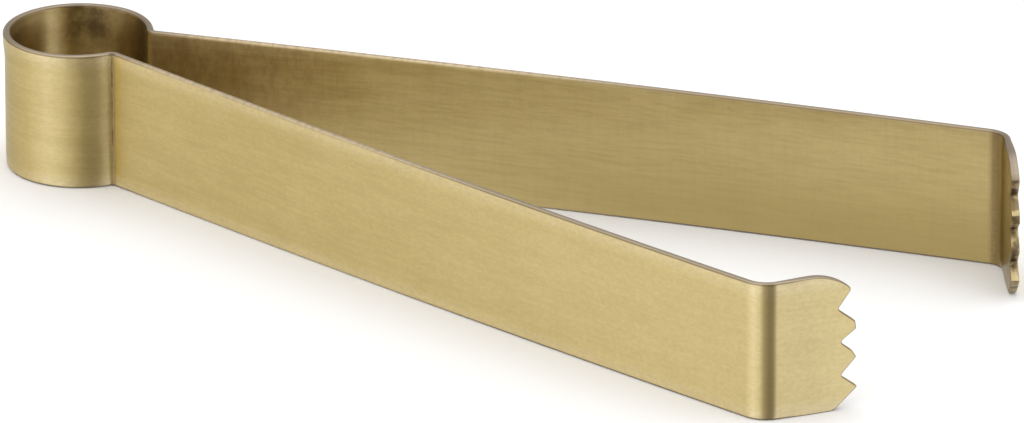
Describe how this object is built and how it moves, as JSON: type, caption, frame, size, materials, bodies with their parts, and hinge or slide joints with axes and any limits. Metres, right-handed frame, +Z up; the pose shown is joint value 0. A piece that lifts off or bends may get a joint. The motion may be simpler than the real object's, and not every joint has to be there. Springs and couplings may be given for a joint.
{
  "type": "ice tongs",
  "caption": "One-piece spring ice tongs: a bent brass strip with a round bow, two splayed arms and inward toothed claws.",
  "frame": {"origin": "the axis of the bow, in the plane that the tongs stand on when the strip is on edge", "axes": "+X runs from the bow along the centre plane to the claws, +Y is the left arm's side, +Z is up along the width of the strip"},
  "size_m": [0.1506, 0.0672, 0.02],
  "materials": {
    "brass_strip": "satin, brushed along the strip, lightly tarnished"
  },
  "bodies": {
    "bow_back": {"bow_back": "brass_strip"},
    "left_bow_side": {"left_bow_side": "brass_strip", "left_neck": "brass_strip", "left_arm_root": "brass_strip"},
    "left_arm_shank": {"left_arm_shank": "brass_strip"},
    "left_arm_grip": {"left_arm_grip": "brass_strip", "left_claw_bend": "brass_strip", "left_claw": "brass_strip"},
    "right_bow_side": {"right_bow_side": "brass_strip", "right_neck": "brass_strip", "right_arm_root": "brass_strip"},
    "right_arm_shank": {"right_arm_shank": "brass_strip"},
    "right_arm_grip": {"right_arm_grip": "brass_strip", "right_claw_bend": "brass_strip", "right_claw": "brass_strip"}
  },
  "joints": [
    {"name": "left_bow_flex", "type": "hinge", "parent": "bow_back", "child": "left_bow_side", "pos_m": [-0.00163, 0.00926, 0.01], "axis": [0, 0, -1], "range_deg": [0, 4.79], "stiffness_Nm_per_rad": 10.5},
    {"name": "left_arm_root_flex", "type": "hinge", "parent": "left_bow_side", "child": "left_arm_shank", "pos_m": [0.02135, 0.00755, 0.01], "axis": [0, 0, -1], "range_deg": [0, 3.12], "stiffness_Nm_per_rad": 11.2},
    {"name": "left_arm_flex", "type": "hinge", "parent": "left_arm_shank", "child": "left_arm_grip", "pos_m": [0.05045, 0.01483, 0.01], "axis": [0, 0, -1], "range_deg": [0, 2.02], "stiffness_Nm_per_rad": 6.7},
    {"name": "right_bow_flex", "type": "hinge", "parent": "bow_back", "child": "right_bow_side", "pos_m": [-0.00163, -0.00926, 0.01], "axis": [0, 0, 1], "range_deg": [0, 4.79], "stiffness_Nm_per_rad": 10.5},
    {"name": "right_arm_root_flex", "type": "hinge", "parent": "right_bow_side", "child": "right_arm_shank", "pos_m": [0.02135, -0.00755, 0.01], "axis": [0, 0, 1], "range_deg": [0, 3.12], "stiffness_Nm_per_rad": 11.2},
    {"name": "right_arm_flex", "type": "hinge", "parent": "right_arm_shank", "child": "right_arm_grip", "pos_m": [0.05045, -0.01483, 0.01], "axis": [0, 0, 1], "range_deg": [0, 2.02], "stiffness_Nm_per_rad": 6.7}
  ],
  "couplings": [
    {"joint": "left_arm_root_flex", "follows": "left_bow_flex", "ratio": 0.65},
    {"joint": "left_arm_flex", "follows": "left_bow_flex", "ratio": 0.42},
    {"joint": "right_bow_flex", "follows": "left_bow_flex", "ratio": 1},
    {"joint": "right_arm_root_flex", "follows": "left_bow_flex", "ratio": 0.65},
    {"joint": "right_arm_flex", "follows": "left_bow_flex", "ratio": 0.42}
  ]
}
